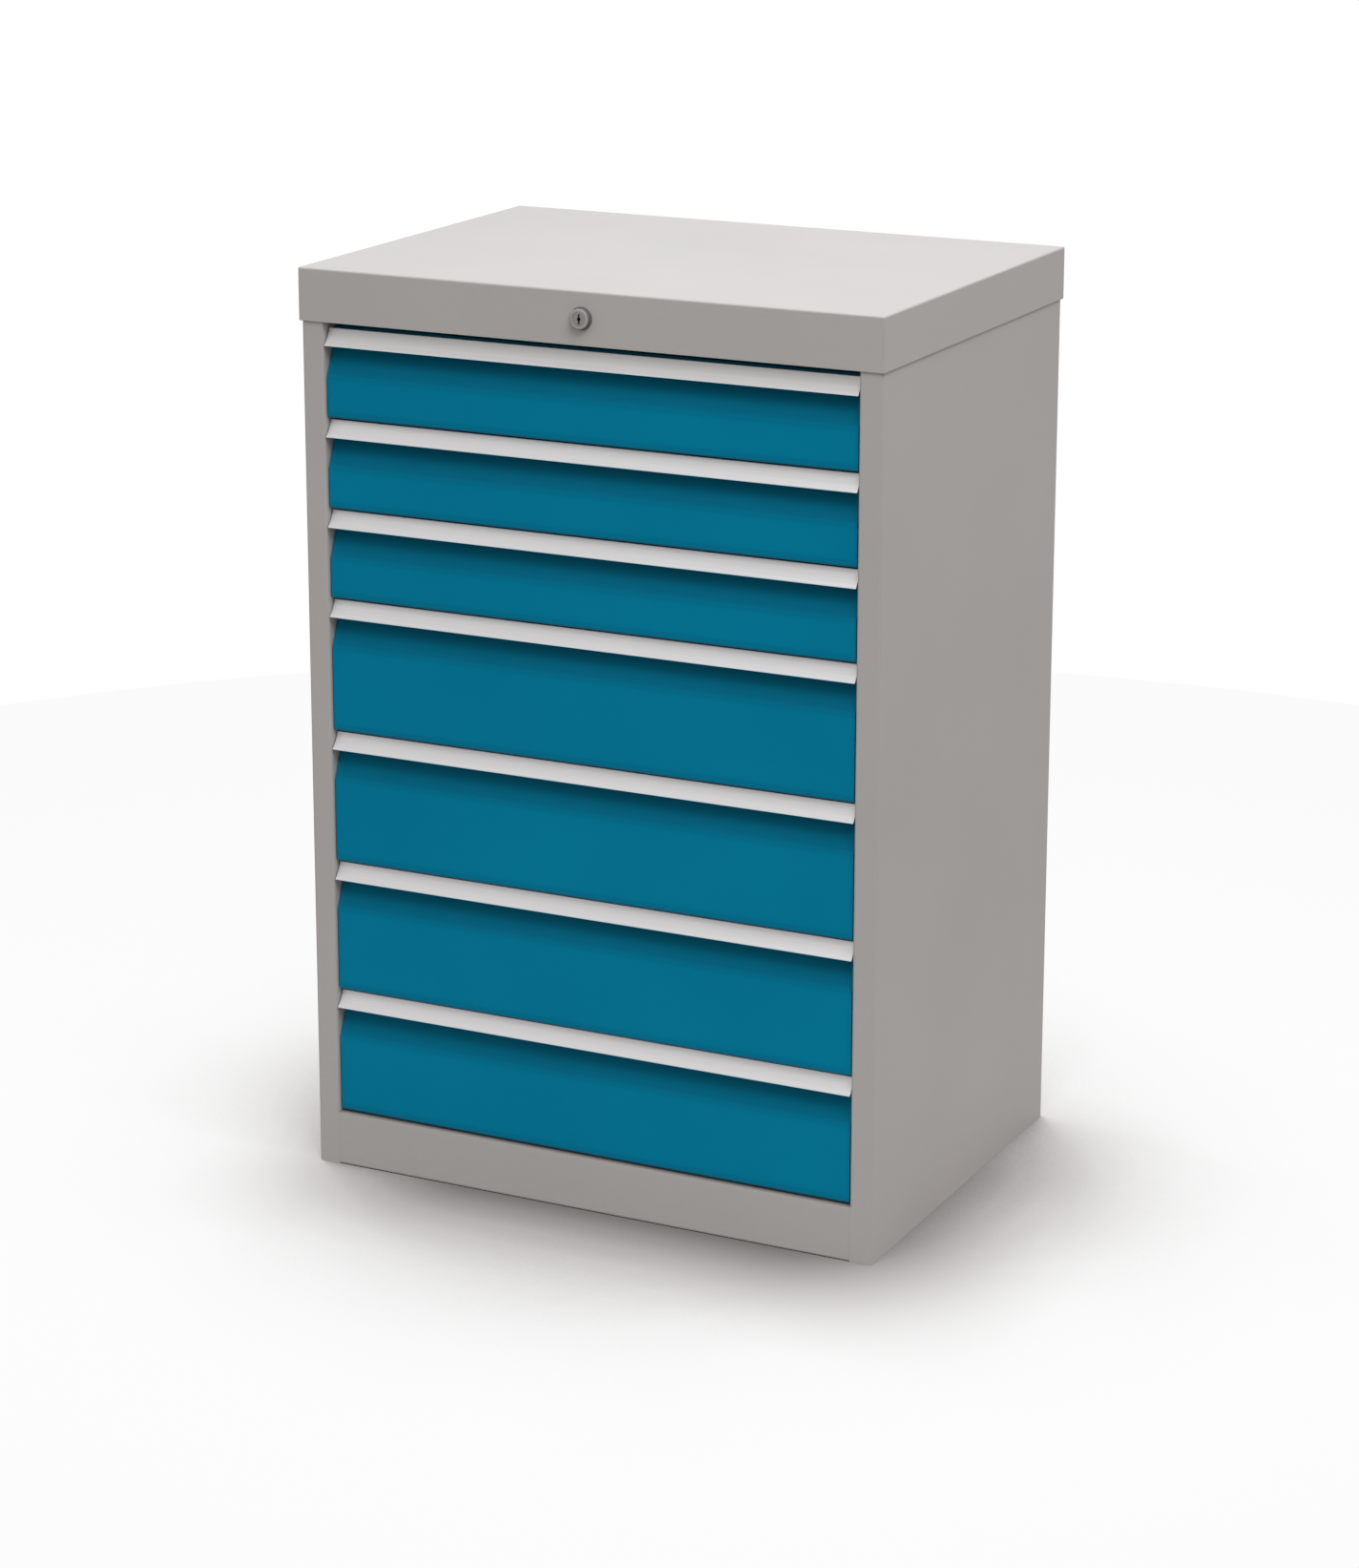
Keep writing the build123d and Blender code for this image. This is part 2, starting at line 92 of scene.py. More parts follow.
# Shade on the floor: how closed in a point is where it is darkest and where it ends, and the
# soft block round the foot of the cabinet that keeps it near
shade_reach = 0.9
shade_closed = 0.30
shade_open = 0.87
shade_samples = 16
shade_tint = (1.08, 1.0, 0.97)
foot_middle = {"X": 0.040, "Y": -0.073}
foot_half = {"X": 0.273, "Y": 0.172}
foot_inside = -0.095
foot_outside = 0.284

# Trays: one folded sheet each, with rows of slots for dividers, a catch, and riveted runners.
# The sheet is laid a little thinner than it is, so that the wall and its hem stay apart.
drawer_count = 7
tray_sheet = 1.2 * MM
laid_sheet = 0.96 * tray_sheet
tray_corner = 3.2 * MM
tray_fold = 2.0 * MM
tray_rim = 8.0 * MM
corner_steps = 4
fold_steps = 3
hem_steps = 6
slot_pitch = 17.0 * MM
slot_width = 3.0 * MM
slot_margin = 24.0 * MM
slot_above_floor = 40.0 * MM
slot_below_rim = 12.0 * MM
slot_row_height = 34.0 * MM
slot_row_gap = 12.0 * MM
catch_half = 12.0 * MM
catch_reach = 10.0 * MM
catch_rise = 36.0 * MM
catch_lip = 9.5 * MM
catch_sheet = 1.5 * MM
catch_bend = 2.0 * MM
catch_steps = 4
rivet_radius = 3.6 * MM
rivet_height = 1.2 * MM
rivet_rise = 21.0 * MM
rivet_rings = 3
rivet_spokes = 12
runner_sheet = 1.8 * MM
rivet_shares = (0.07, 0.35, 0.65, 0.93)

# Colours of the finishes, and how much darker the lock is behind its front faces, as painted shade
housing_grey = (0.421, 0.396, 0.383)
front_teal = (0.0, 0.193, 0.33)
anodised = (0.62, 0.605, 0.605)
zinc = (0.60, 0.61, 0.63)
lock_coat = (0.335, 0.319, 0.309)
plug_metal = (0.24, 0.228, 0.216)
# painted shade on the barrel's side and flange, behind the face of its head
lock_side_shade = 0.40
# painted shade in the keyhole: the plug behind its face nearly black
keyhole_shade = 0.08
behind_start = 0.3 * MM
behind_end = 0.9 * MM

# Powder coat: the size of its peel and waves, its clouds, and how it takes the light
noise_range = (0.3, 0.7)
peel_size = 1.1 * MM
wave_size = 12.0 * MM
wave_share = 1.4
cloud_scale = 5.0
paint_rough = (0.49, 0.63)
# painted shade: the powder coat's sharp edges a little darker, against the light they catch
paint_edge_shade = 0.94
paint_bend = 0.6 * MM
paint_relief = 0.12 * MM
paint_relief_strength = 0.35
edge_radius = 1.2 * MM
edge_cosine = 0.8
lean_softness = 10.0 * MM
lean_full = 0.38
bend_samples = 4
lean_samples = 8

# Metals: drawn lines along X, and the crystal patches of the zinc
line_stretch = 3.0
streak_tones = (0.94, 1.05)
streak_rough = (-0.05, 0.08)
# painted highlight: the drawn metal's sharp edges lighter
metal_edge_highlight = 1.15
metal_bend = 0.4 * MM
metal_relief_strength = 0.3
patch_scale = 160.0
patch_tones = (0.90, 1.06)
patch_rough = (0.28, 0.44)
zinc_grain_scale = 900.0
zinc_relief = 0.1 * MM
zinc_relief_strength = 0.2


# Shader helpers
def put(tree, kind, inputs=None, **settings):
    """A shader node, with its settings, and its inputs set to values or linked to sockets."""
    node = tree.nodes.new(kind)
    for name, value in settings.items():
        setattr(node, name, value)
    for name, value in (inputs or {}).items():
        if isinstance(value, bpy.types.NodeSocket):
            tree.links.new(value, node.inputs[name])
        else:
            node.inputs[name].default_value = value
    return node


def maths(tree, operation, first, second=0.0):
    """The result of one Math node."""
    return put(tree, "ShaderNodeMath", {0: first, 1: second}, operation=operation).outputs[0]


def product(tree, first, *others):
    """Several values multiplied together."""
    for other in others:
        first = maths(tree, "MULTIPLY", first, other)
    return first


def span(tree, value, low, high, to_low, to_high, way="LINEAR"):
    """A value carried from one range to another, and kept inside it."""
    ranges = {"From Min": low, "From Max": high, "To Min": to_low, "To Max": to_high}
    node = put(tree, "ShaderNodeMapRange", {"Value": value, **ranges}, interpolation_type=way)
    return node.outputs["Result"]


def between(tree, mask, at_none, at_full):
    """What goes with a mask: one value where it is 0, the other where it is 1."""
    return span(tree, mask, 0.0, 1.0, at_none, at_full)


def noise(tree, place, scale, detail):
    """Noise read at a place, from 0 to 1."""
    inputs = {"Vector": place, "Scale": scale, "Detail": detail}
    return put(tree, "ShaderNodeTexNoise", inputs).outputs["Fac"]


def spread(tree, value):
    """Noise carried from the range it mostly keeps to, out to 0 and 1."""
    return span(tree, value, *noise_range, 0.0, 1.0)


def own_place(tree):
    """A point's place on its piece, which is its place in the cabinet at rest."""
    return put(tree, "ShaderNodeTexCoord").outputs["Object"]


def true_normal(tree):
    """The way a face is turned."""
    return put(tree, "ShaderNodeNewGeometry").outputs["Normal"]


def rounded_normal(tree, radius, samples):
    """The normal with the piece's edges rounded off to a radius."""
    return put(tree, "ShaderNodeBevel", {"Radius": radius}, samples=samples).outputs[0]


def parts_of(tree, vector):
    """The X, Y and Z of a vector."""
    return put(tree, "ShaderNodeSeparateXYZ", {0: vector}).outputs


# Effects that the finishes share
def new_group(name, inputs, outputs):
    """An empty node group with named float inputs and outputs."""
    tree = bpy.data.node_groups.new(name, "ShaderNodeTree")
    for label, value in inputs.items():
        socket = tree.interface.new_socket(label, in_out="INPUT", socket_type="NodeSocketFloat")
        socket.default_value = value
    for label in outputs:
        tree.interface.new_socket(label, in_out="OUTPUT", socket_type="NodeSocketFloat")
    return tree, put(tree, "NodeGroupInput").outputs, put(tree, "NodeGroupOutput").inputs


def coat_group():
    """Sprayed and baked powder: fine peel, slow waves under it, and faint cloudy tone."""
    sizes = {"Peel Size": peel_size, "Wave Size": wave_size}
    tree, given, out = new_group("powder_coat", sizes, ("Height", "Tone", "Grain"))
    place = own_place(tree)
    peel = noise(tree, place, maths(tree, "DIVIDE", 1.0, given["Peel Size"]), 3.0)
    wave = noise(tree, place, maths(tree, "DIVIDE", 1.0, given["Wave Size"]), 1.0)
    cloud = noise(tree, place, cloud_scale, 4.0)
    height = maths(tree, "ADD", peel, maths(tree, "MULTIPLY", wave, wave_share))
    tree.links.new(height, out["Height"])
    tree.links.new(spread(tree, cloud), out["Tone"])
    tree.links.new(spread(tree, peel), out["Grain"])
    return tree


def edge_group():
    """How near a point is to a sharp edge: the rounded normal turned away from the true one."""
    tree, given, out = new_group("edge_light", {"Radius": edge_radius}, ("Edge",))
    normals = {0: rounded_normal(tree, given["Radius"], bend_samples), 1: true_normal(tree)}
    cosine = put(tree, "ShaderNodeVectorMath", normals, operation="DOT_PRODUCT").outputs["Value"]
    tree.links.new(span(tree, cosine, 1.0, edge_cosine, 0.0, 1.0), out["Edge"])
    return tree


def line_group():
    """Drawn or brushed lines along X: noise that is long one way and fine across."""
    tree, given, out = new_group("drawn_lines", {"Line Width": 0.4 * MM}, ("Height", "Streak"))
    across = maths(tree, "DIVIDE", 1.0, given["Line Width"])
    stretch = put(tree, "ShaderNodeCombineXYZ", {"X": line_stretch, "Y": across, "Z": across})
    both = {0: own_place(tree), 1: stretch.outputs[0]}
    scaled = put(tree, "ShaderNodeVectorMath", both, operation="MULTIPLY").outputs[0]
    fine = noise(tree, scaled, 1.0, 2.0)
    tree.links.new(fine, out["Height"])
    tree.links.new(spread(tree, fine), out["Streak"])
    return tree


def lean_group():
    """How far a face leans back, read where its bend has been rounded off: 0 upright, 1 at Full."""
    values = {"Softness": lean_softness, "Full": lean_full}
    tree, given, out = new_group("lean", values, ("Lean",))
    rise = parts_of(tree, rounded_normal(tree, given["Softness"], lean_samples))["Z"]
    share = maths(tree, "DIVIDE", rise, given["Full"])
    tree.links.new(between(tree, share, 0.0, 1.0), out["Lean"])
    return tree


def turn_group():
    """Which way a face is turned: Corner is 1 half way round a bend from the front to a side,
    which is twice the product of the normal's X and Y, and Ledge is 1 on a face that looks up.
    """
    tree, given, out = new_group("turn", {}, ("Corner", "Ledge"))
    way = parts_of(tree, true_normal(tree))
    both = maths(tree, "ABSOLUTE", maths(tree, "MULTIPLY", way["X"], way["Y"]))
    tree.links.new(maths(tree, "MULTIPLY", both, 2.0), out["Corner"])
    tree.links.new(maths(tree, "MAXIMUM", way["Z"], 0.0), out["Ledge"])
    return tree


def behind_group():
    """How deep a point lies along Y behind the front of its piece: 0 at Start, 1 at End."""
    values = {"Front": 0.0, "Start": behind_start, "End": behind_end}
    tree, given, out = new_group("behind", values, ("Behind",))
    depth = maths(tree, "SUBTRACT", parts_of(tree, own_place(tree))["Y"], given["Front"])
    tree.links.new(span(tree, depth, given["Start"], given["End"], 0.0, 1.0), out["Behind"])
    return tree


GROUPS = {
    "coat": coat_group(), "edge": edge_group(), "lines": line_group(), "lean": lean_group(),
    "turn": turn_group(), "behind": behind_group(),
}


def use(tree, group, **values):
    """One of the shared effects, placed in a material with its own values."""
    node = put(tree, "ShaderNodeGroup", node_tree=GROUPS[group])
    for label, value in values.items():
        node.inputs[label.replace("_", " ")].default_value = value
    return node.outputs


def painted_shade_behind(tree, node, tone):
    """1 on the front face of a node of the lock, and the tone behind it, as painted shade behind the
    face.
    """
    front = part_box(node)[0][1]
    return between(tree, use(tree, "behind", Front=front)["Behind"], 1.0, tone)


# Finishes
def new_material(name):
    """A material with its node tree, its Principled shader and nothing else in it."""
    material = bpy.data.materials.new(name)
    material.use_nodes = True
    tree = material.node_tree
    return material, tree, tree.nodes["Principled BSDF"]


def lay_colour(tree, shader, colour, factors):
    """The colour, made lighter or darker by the factors over the surface."""
    scale = {0: colour, "Scale": product(tree, *factors)}
    scaled = put(tree, "ShaderNodeVectorMath", scale, operation="SCALE").outputs[0]
    tree.links.new(scaled, shader.inputs["Base Color"])


def lay_relief(tree, shader, **bump):
    """The grain as a bump with the values given."""
    tree.links.new(put(tree, "ShaderNodeBump", bump).outputs[0], shader.inputs["Normal"])


def powder_paint(name, colour, tone=0.03, grain=0.03, specular=0.25, recess_shade=1.0, corner=1.0,
                 ledge_shade=1.0, front_of=None):
    """Fine-texture powder coat: peel in the bump, cloudy tone, and painted shade as a darker line on the
    sharp edges.

    Painted shade, by the values given: darker half way round an upright bend and on a face that looks up,
    where these catch the light.
    Where the sheet leans back under the grips, its colour is multiplied by the given value, as painted
    shade below the grips.
    Behind the front of the node named by front_of, it is multiplied by the tone of the lock's side, as
    painted shade round the lock's head.
    """
    material, tree, shader = new_material(name)
    coat = use(tree, "coat")
    factors = [
        between(tree, coat["Tone"], 1.0 - tone, 1.0 + tone),
        between(tree, coat["Grain"], 1.0 - grain, 1.0 + grain),
        between(tree, use(tree, "edge")["Edge"], 1.0, paint_edge_shade),
    ]
    masks = (("turn", "Corner", corner), ("turn", "Ledge", ledge_shade), ("lean", "Lean", recess_shade))
    for group, label, value in masks:
        if value < 1.0:
            factors.append(between(tree, use(tree, group)[label], 1.0, value))
    if front_of:
        factors.append(painted_shade_behind(tree, front_of, lock_side_shade))
    lay_colour(tree, shader, colour, factors)
    tree.links.new(between(tree, coat["Grain"], *paint_rough), shader.inputs["Roughness"])
    shader.inputs["Specular IOR Level"].default_value = specular
    lay_relief(
        tree, shader, Strength=paint_relief_strength, Distance=paint_relief, Height=coat["Height"],
        Normal=rounded_normal(tree, paint_bend, bend_samples),
    )
    return material


def drawn_metal(name, colour, metallic, roughness, line_width, relief, front_of=None):
    """Extruded or drawn metal with fine lines along X, and a painted highlight as a lighter line on its
    sharp edges.

    Behind the front of the node named by front_of, as in the keyhole, it is nearly black, as painted
    shade.
    """
    material, tree, shader = new_material(name)
    lines = use(tree, "lines", Line_Width=line_width)
    factors = [
        between(tree, lines["Streak"], *streak_tones),
        between(tree, use(tree, "edge")["Edge"], 1.0, metal_edge_highlight),
    ]
    if front_of:
        factors.append(painted_shade_behind(tree, front_of, keyhole_shade))
    lay_colour(tree, shader, colour, factors)
    smooth, rough = (roughness + change for change in streak_rough)
    tree.links.new(between(tree, lines["Streak"], smooth, rough), shader.inputs["Roughness"])
    shader.inputs["Metallic"].default_value = metallic
    lay_relief(
        tree, shader, Strength=metal_relief_strength, Distance=relief, Height=lines["Height"],
        Normal=rounded_normal(tree, metal_bend, bend_samples),
    )
    return material


def zinc_plate(name, colour):
    """Bright zinc: faint crystal patches that differ in tone and gloss."""
    material, tree, shader = new_material(name)
    place = own_place(tree)
    cells = put(tree, "ShaderNodeTexVoronoi", {"Vector": place, "Scale": patch_scale})
    patch = put(tree, "ShaderNodeSeparateColor", {"Color": cells.outputs["Color"]}).outputs[0]
    lay_colour(tree, shader, colour, [between(tree, patch, *patch_tones)])
    tree.links.new(between(tree, patch, *patch_rough), shader.inputs["Roughness"])
    shader.inputs["Metallic"].default_value = 1.0
    lay_relief(
        tree, shader, Strength=zinc_relief_strength, Distance=zinc_relief,
        Height=noise(tree, place, zinc_grain_scale, 2.0),
    )
    return material


MATERIALS = {
    # painted shade half way round the housing's upright bends, where they catch the light
    "housing_paint": powder_paint("housing_paint", housing_grey, tone=0.018, corner=0.90),
    # painted shade below the grips, where the fronts lean back
    "front_paint": powder_paint("front_paint", front_teal, specular=0.04, recess_shade=0.64),
    "grip_aluminium": drawn_metal(
        "grip_aluminium", anodised, metallic=0.55, roughness=0.42, line_width=0.5 * MM,
        relief=0.06 * MM,
    ),
    "zinc_steel": zinc_plate("zinc_steel", zinc),
    # painted shade on the lock's barrel behind the face of its head
    "lock_grey": powder_paint("lock_grey", lock_coat, tone=0.02, grain=0.01, front_of="lock_barrel"),
    # painted shade in the keyhole, behind the plug's face
    "lock_core": drawn_metal(
        "lock_core", plug_metal, metallic=0.9, roughness=0.36, line_width=0.3 * MM,
        relief=0.03 * MM, front_of="lock_plug",
    ),
}
for entry in record["subparts"]:
    mesh = nodes[entry["node"]].data
    mesh.materials.clear()
    mesh.materials.append(MATERIALS[entry["material_slot"]])

# The base plate has the housing's paint, with painted shade on the upward face of its upper bend, where
# it would catch the light
base_paint = powder_paint("base_paint", housing_grey, tone=0.018, ledge_shade=0.5)
nodes["base_front_plate"].data.materials[0] = base_paint


# Pieces that the solids leave plain
def new_piece(name, points, faces, body, slot):
    """A mesh at the origin with its finish, riding on a body of the cabinet."""
    mesh = bpy.data.meshes.new(name)
    mesh.from_pydata(np.asarray(points, float).tolist(), [], faces)
    mesh.materials.append(MATERIALS[slot])
    piece = bpy.data.objects.new(name, mesh)
    bpy.context.scene.collection.objects.link(piece)
    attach(piece, body)
    return piece


def thicken(piece, thickness):
    """The sheet's thickness, laid behind its outer face."""
    wall = piece.modifiers.new("thickness", "SOLIDIFY")
    wall.thickness, wall.offset, wall.use_even_offset = thickness, -1.0, True


def spaced_slots(length):
    """Both edges of each slot along a wall: as many as fit at the pitch, about its middle."""
    room = length - 2 * slot_margin
    count = int(room / slot_pitch) + 1
    middles = (np.arange(count) - (count - 1) / 2) * slot_pitch
    return np.stack([middles - slot_width / 2, middles + slot_width / 2], axis=-1).ravel()


def tray_plan(half_x, half_y):
    """A rectangle with rounded corners, walked round against the clock from its front left.

    A side is a straight run cut at the edges of its slots, and a corner is a quarter circle.
    The rear side, the third, has no slots near its middle, where the catch is.
    Gives the points, the outward direction at each, and which steps along it are slots.
    """
    points, outwards, slots = [], [], []
    bend = np.linspace(0.0, QUARTER, corner_steps + 1)[1:-1, None]
    for side, (along, away) in enumerate(((half_x, half_y), (half_y, half_x)) * 2):
        angle = side * QUARTER
        ahead = np.array([np.cos(angle), np.sin(angle)])
        out = np.array([np.sin(angle), -np.cos(angle)])
        end = along - tray_corner
        edges = np.concatenate([[-end], spaced_slots(2 * along), [end]])
        is_slot = np.zeros(len(edges), bool)
        is_slot[1:-1:2] = True
        if side == 2:
            is_slot &= np.abs(edges + slot_width / 2) > catch_half + slot_pitch / 2
        turned = np.cos(bend) * out + np.sin(bend) * ahead
        points += [edges[:, None] * ahead + away * out]
        points += [end * ahead + (away - tray_corner) * out + tray_corner * turned]
        outwards += [np.repeat(out[None, :], len(edges), axis=0), turned]
        slots += [is_slot, np.zeros(len(turned), bool)]
    return np.concatenate(points), np.concatenate(outwards), np.concatenate(slots)


def tray_section(height):
    """The wall's section: how far inside the plan, how high, and which steps up it hold slots.

    A quarter circle folds up from the floor, the wall is straight, a half circle turns it over
    at the top, and the hem goes down inside.
    """
    fold = np.linspace(0.0, QUARTER, fold_steps + 1)
    over = np.linspace(0.0, 2 * QUARTER, hem_steps + 1)
    low, high = slot_above_floor, height - tray_rim - slot_below_rim
    rows = max(1, round((high - low + slot_row_gap) / (slot_row_height + slot_row_gap)))
    row_height = (high - low - (rows - 1) * slot_row_gap) / rows
    starts = low + np.arange(rows) * (row_height + slot_row_gap)
    edges = np.stack([starts, starts + row_height], axis=-1).ravel()
    inside = np.concatenate([
        tray_fold * (1 - np.sin(fold)), 0 * edges, tray_sheet * (1 - np.cos(over)), [2 * tray_sheet],
    ])
    up = np.concatenate([
        tray_fold * (1 - np.cos(fold)), edges, height - tray_sheet * (1 - np.sin(over)),
        [height - tray_rim],
    ])
    is_slot = np.zeros(len(up), bool)
    is_slot[len(fold):len(fold) + len(edges):2] = True
    return inside, up, is_slot


def make_tray(node, body):
    """A tray: the wall's section carried round the plan, less the slots, and the floor."""
    low, high = (np.array(corner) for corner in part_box(node))
    rear = high[1] - catch_reach
    middle = np.array([(low[0] + high[0]) / 2, (low[1] + rear) / 2])
    plan, outward, slot_step = tray_plan((high[0] - low[0]) / 2, (rear - low[1]) / 2)
    inside, up, slot_row = tray_section(high[2] - low[2])
    flat = middle + plan[None] - inside[:, None, None] * outward[None]
    level = np.broadcast_to(low[2] + up[:, None, None], flat.shape[:2] + (1,))
    index = np.arange(len(up) * len(plan)).reshape(len(up), len(plan))
    after = np.roll(index, -1, axis=1)
    quads = np.stack([index[:-1], after[:-1], after[1:], index[1:]], axis=-1)
    faces = quads[~(slot_row[:-1, None] & slot_step[None, :])].tolist() + [index[0, ::-1].tolist()]
    points = np.concatenate([flat, level], axis=-1).reshape(-1, 3)
    tray = new_piece(node + "_sheet", points, faces, body, "housing_paint")
    thicken(tray, laid_sheet)
    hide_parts(node)
    make_catch(node + "_catch", rear, low[2] + catch_rise, body)
    along = low[1] + np.array(rivet_shares) * (rear - low[1])
    spots = np.array([(x, y, low[2] + rivet_rise) for x in (low[0], high[0]) for y in along])
    sides = np.repeat([-1.0, 1.0], len(along))
    inner = spots - np.outer(sides, [tray_sheet, 0, 0])
    outer = spots + np.outer(sides, [runner_sheet, 0, 0])
    make_rivets(node + "_rivets", np.concatenate([inner, outer]), np.concatenate([-sides, sides]), body)


def make_catch(name, rear, top, body):
    """The catch behind a tray: a straight strip, a quarter circle down, and a lip."""
    bend = np.linspace(0.0, QUARTER, catch_steps + 1)
    end = rear + catch_reach
    y = np.concatenate([[rear], end - catch_bend * (1 - np.sin(bend)), [end]])
    z = np.concatenate([[top], top - catch_bend * (1 - np.cos(bend)), [top - catch_lip]])
    x = catch_half * np.array([-1.0, 1.0])
    points = np.stack(np.broadcast_arrays(x[None, :], y[:, None], z[:, None]), axis=-1)
    index = np.arange(2 * len(y)).reshape(len(y), 2)
    quads = np.stack([index[:-1, 0], index[:-1, 1], index[1:, 1], index[1:, 0]], axis=-1)
    thicken(new_piece(name, points.reshape(-1, 3), quads.tolist(), body, "housing_paint"), catch_sheet)


def make_rivets(name, spots, ways, body):
    """Rivet heads along X: the radius falls as a cosine while the height rises as a sine."""
    rise = np.linspace(0.0, QUARTER, rivet_rings + 1)[:-1, None]
    turn = np.linspace(0.0, 4 * QUARTER, rivet_spokes, endpoint=False)[None, :]
    rings = np.stack(np.broadcast_arrays(
        rivet_height * np.sin(rise), rivet_radius * np.cos(rise) * np.cos(turn),
        rivet_radius * np.cos(rise) * np.sin(turn),
    ), axis=-1).reshape(-1, 3)
    head = np.concatenate([rings, [[rivet_height, 0.0, 0.0]]])
    crown = len(rings)
    index = np.arange(crown).reshape(rivet_rings, rivet_spokes)
    after = np.roll(index, -1, axis=1)
    faces = np.stack([index[:-1], after[:-1], after[1:], index[1:]], axis=-1).reshape(-1, 4).tolist()
    faces += [[first, second, crown] for first, second in zip(index[-1], after[-1])]
    faces += [index[0, ::-1].tolist()]
    points, all_faces = [], []
    for number, (spot, way) in enumerate(zip(spots, ways)):
        points.append(spot + head * [way, way, 1.0])
        all_faces += [[int(corner) + number * len(head) for corner in face] for face in faces]
    new_piece(name, np.concatenate(points), all_faces, body, "zinc_steel")


for number in range(1, drawer_count + 1):
    make_tray(f"drawer_{number}_tray", f"drawer_{number}")


# Floor, world, lamps and camera
def seen_directly(tree):
    """1 for rays from the camera, a reflection or glass, 0 for light that falls on things."""
    path = put(tree, "ShaderNodeLightPath").outputs
    mirror = maths(tree, "MAXIMUM", path["Is Glossy Ray"], path["Is Transmission Ray"])
    return maths(tree, "MAXIMUM", path["Is Camera Ray"], mirror)


def off_the_foot(tree, place):
    """0 on the cabinet's footprint, 1 well away from it: the soft ramps across it and along it,
    multiplied and taken from 1.
    """
    way = parts_of(tree, place)
    ramps = []
    for axis, middle in foot_middle.items():
        from_middle = maths(tree, "ABSOLUTE", maths(tree, "SUBTRACT", way[axis], middle))
        away = maths(tree, "SUBTRACT", from_middle, foot_half[axis])
        ramps.append(span(tree, away, foot_inside, foot_outside, 1.0, 0.0, "SMOOTHSTEP"))
    return maths(tree, "SUBTRACT", 1.0, product(tree, *ramps))


def round_floor():
    """A round floor: rings of points at equal steps of angle and radius."""
    radius = np.linspace(0.0, floor_radius, floor_rings + 1)[1:, None]
    angle = np.linspace(0.0, 4 * QUARTER, floor_spokes, endpoint=False)[None, :]
    flat = [radius * np.cos(angle), radius * np.sin(angle), np.zeros((floor_rings, floor_spokes))]
    points = np.concatenate([[[0.0, 0.0, 0.0]], np.stack(flat, axis=-1).reshape(-1, 3)])
    index = 1 + np.arange(floor_rings * floor_spokes).reshape(floor_rings, floor_spokes)
    after = np.roll(index, -1, axis=1)
    quads = np.stack([index[:-1], index[1:], after[1:], after[:-1]], axis=-1).reshape(-1, 4)
    centre = np.stack([np.zeros(floor_spokes, int), index[0], after[0]], axis=-1)
    mesh = bpy.data.meshes.new("floor")
    mesh.from_pydata(points.tolist(), [], quads.tolist() + centre.tolist())
    floor = bpy.data.objects.new("floor", mesh)
    bpy.context.scene.collection.objects.link(floor)
    return floor


def floor_finish():
    """Seen directly, a pale glow that darkens where the cabinet closes in on a point, and an even
    pale tone far off. Light that falls on it comes back from a grey.
    """
    material, tree, shader = new_material("floor_white")
    tree.nodes.remove(shader)
    place = own_place(tree)
    open_sky = put(
        tree, "ShaderNodeAmbientOcclusion", {"Distance": shade_reach}, samples=shade_samples
    ).outputs["AO"]
    shade = span(tree, open_sky, shade_closed, shade_open, 0.0, 1.0, "SMOOTHSTEP")
    shade = maths(tree, "MINIMUM", shade, off_the_foot(tree, place))
    # Inputs 6 and 7 and output 2 of a Mix node are its colours
    tints = {0: shade, 6: shade_tint + (1,), 7: (1, 1, 1, 1)}
    tint = put(tree, "ShaderNodeMix", tints, data_type="RGBA").outputs[2]
    shaded = put(tree, "ShaderNodeVectorMath", {0: tint, "Scale": shade}, operation="SCALE").outputs[0]
    glow = put(tree, "ShaderNodeEmission", {"Color": shaded, "Strength": floor_glow})
    lit = put(tree, "ShaderNodeBsdfDiffuse", {"Color": (floor_seen,) * 3 + (1,)})
    near_look = put(tree, "ShaderNodeAddShader", {0: lit.outputs[0], 1: glow.outputs[0]})
    far_look = put(tree, "ShaderNodeEmission", {"Color": (floor_far,) * 3 + (1,)})
    distance = put(tree, "ShaderNodeVectorMath", {0: place}, operation="LENGTH").outputs["Value"]
    far = span(tree, distance, floor_fade_start, floor_fade_end, 0.0, 1.0, "SMOOTHSTEP")
    look = put(tree, "ShaderNodeMixShader", {0: far, 1: near_look.outputs[0], 2: far_look.outputs[0]})
    bounce = put(tree, "ShaderNodeBsdfDiffuse", {"Color": (floor_bounce,) * 3 + (1,)})
    both = {0: seen_directly(tree), 1: bounce.outputs[0], 2: look.outputs[0]}
    mixed = put(tree, "ShaderNodeMixShader", both)
    tree.links.new(mixed.outputs[0], tree.nodes["Material Output"].inputs["Surface"])
    return material


def make_floor():
    """The round floor with its finish, which isn't part of the cabinet."""
    floor = round_floor()
    floor.data.materials.append(floor_finish())


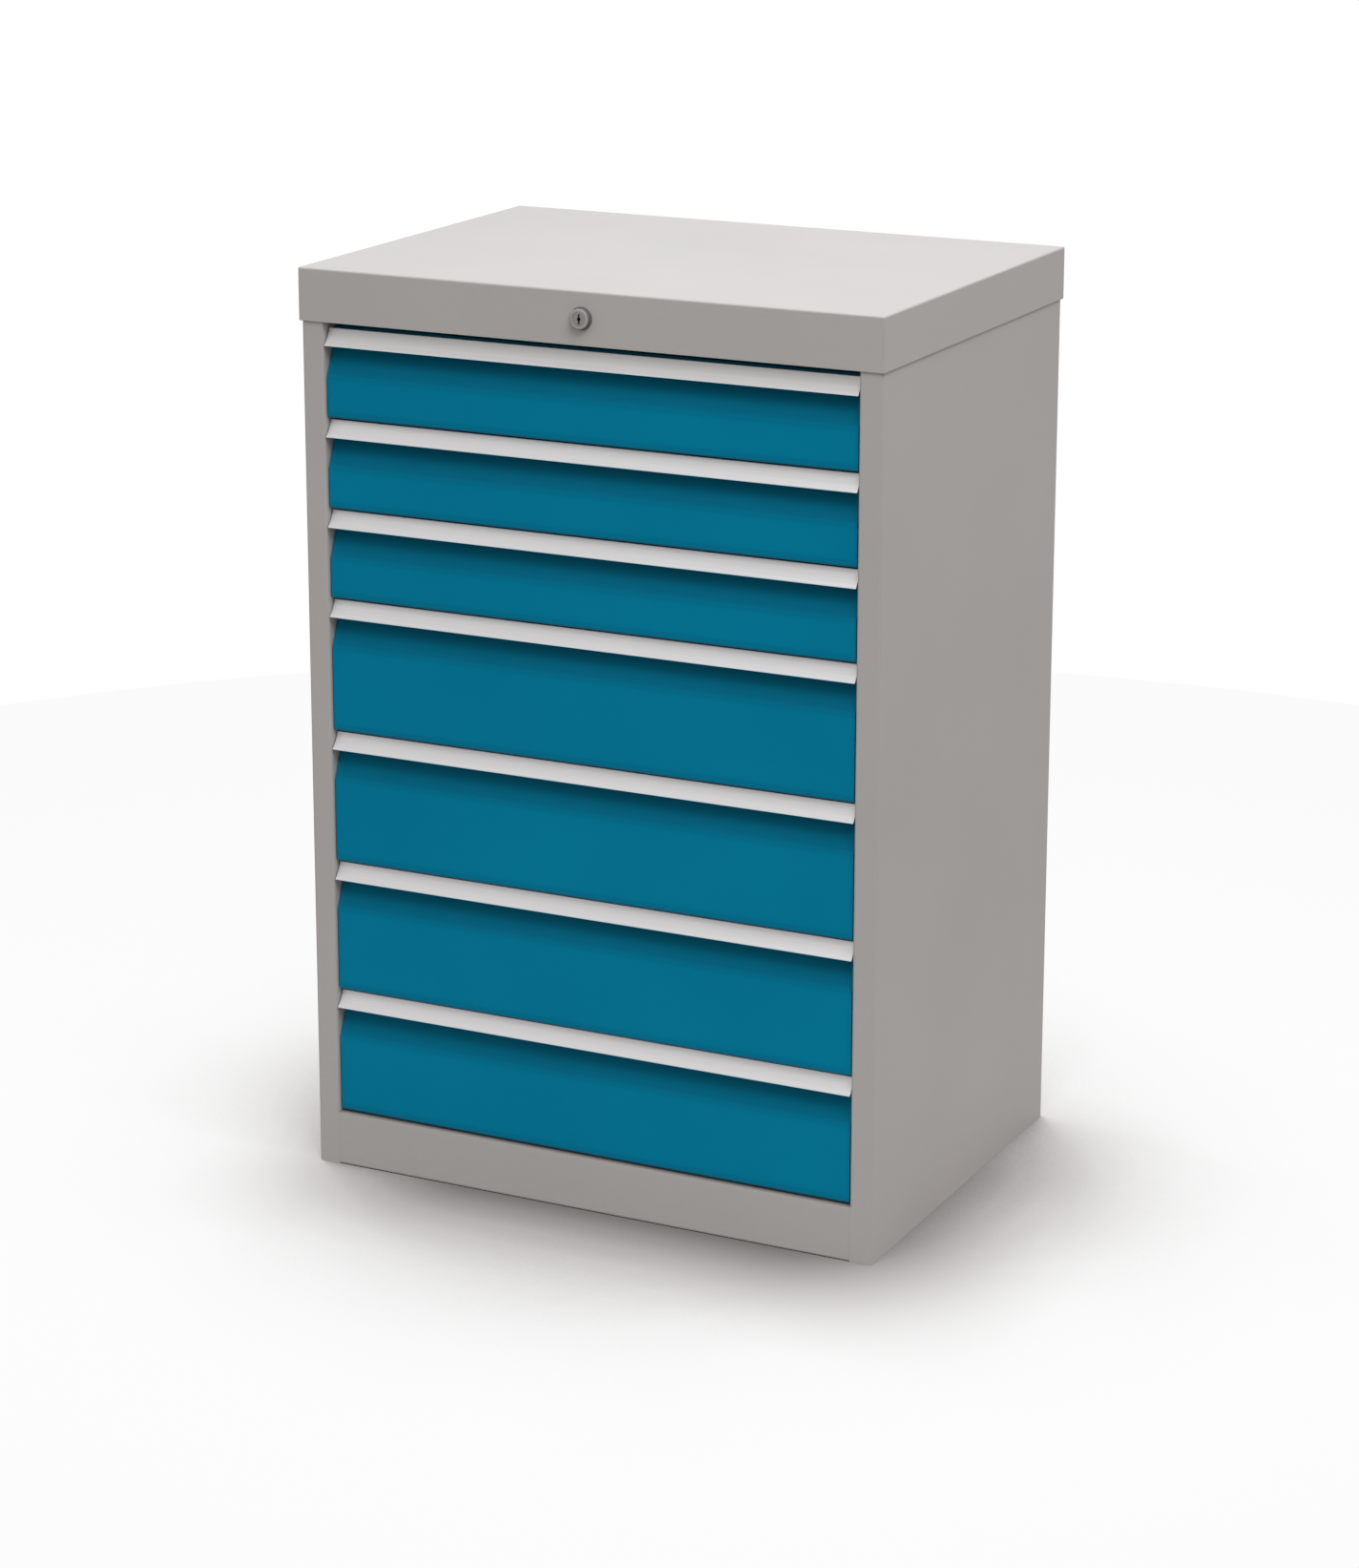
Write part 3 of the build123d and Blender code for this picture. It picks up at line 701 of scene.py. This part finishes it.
def make_world():
    """White where it is seen or mirrored, and where it lights things a fill that is weak below."""
    world = bpy.data.worlds.new("studio")
    bpy.context.scene.world = world
    world.use_nodes = True
    tree = world.node_tree
    fill = tree.nodes["Background"]
    fill.inputs["Color"].default_value = fill_colour + (1,)
    height = parts_of(tree, put(tree, "ShaderNodeTexCoord").outputs["Generated"])["Z"]
    strength = span(tree, height, fill_below_from, 0.0, fill_below, fill_strength)
    tree.links.new(strength, fill.inputs["Strength"])
    white = put(tree, "ShaderNodeBackground", {"Color": (1, 1, 1, 1), "Strength": 1.0})
    both = {0: seen_directly(tree), 1: fill.outputs[0], 2: white.outputs[0]}
    mixed = put(tree, "ShaderNodeMixShader", both)
    tree.links.new(mixed.outputs[0], tree.nodes["World Output"].inputs["Surface"])


def make_lamp(name, place, size, power, colour):
    """A square soft box at its place, turned towards the middle of the cabinet."""
    lamp = bpy.data.lights.new(name, "AREA")
    lamp.size = size
    lamp.energy = power
    lamp.color = colour
    holder = bpy.data.objects.new(name, lamp)
    holder.location = place
    holder.rotation_mode = "QUATERNION"
    holder.rotation_quaternion = (Vector(lamp_aim) - Vector(place)).to_track_quat("-Z", "Y")
    bpy.context.scene.collection.objects.link(holder)


def make_camera():
    """The camera at the photograph's place, turned by azimuth, elevation and roll."""
    camera = bpy.data.cameras.new("camera")
    camera.sensor_width = camera_sensor
    camera.lens = camera_lens
    camera.shift_y = camera_shift
    camera.clip_start, camera.clip_end = camera_near, camera_far
    holder = bpy.data.objects.new("camera", camera)
    azimuth, elevation = math.radians(camera_azimuth), math.radians(camera_elevation)
    ahead = Vector((
        -math.sin(azimuth) * math.cos(elevation),
        math.cos(azimuth) * math.cos(elevation),
        -math.sin(elevation),
    ))
    turn = Quaternion(ahead, math.radians(-camera_roll)) @ ahead.to_track_quat("-Z", "Y")
    holder.rotation_mode = "QUATERNION"
    holder.rotation_quaternion = turn
    holder.location = camera_place
    bpy.context.scene.collection.objects.link(holder)
    bpy.context.scene.camera = holder


make_floor()
make_world()
for lamp_name, facts in lamps.items():
    make_lamp(lamp_name, **facts)
make_camera()
bpy.context.scene.view_settings.view_transform = "Standard"
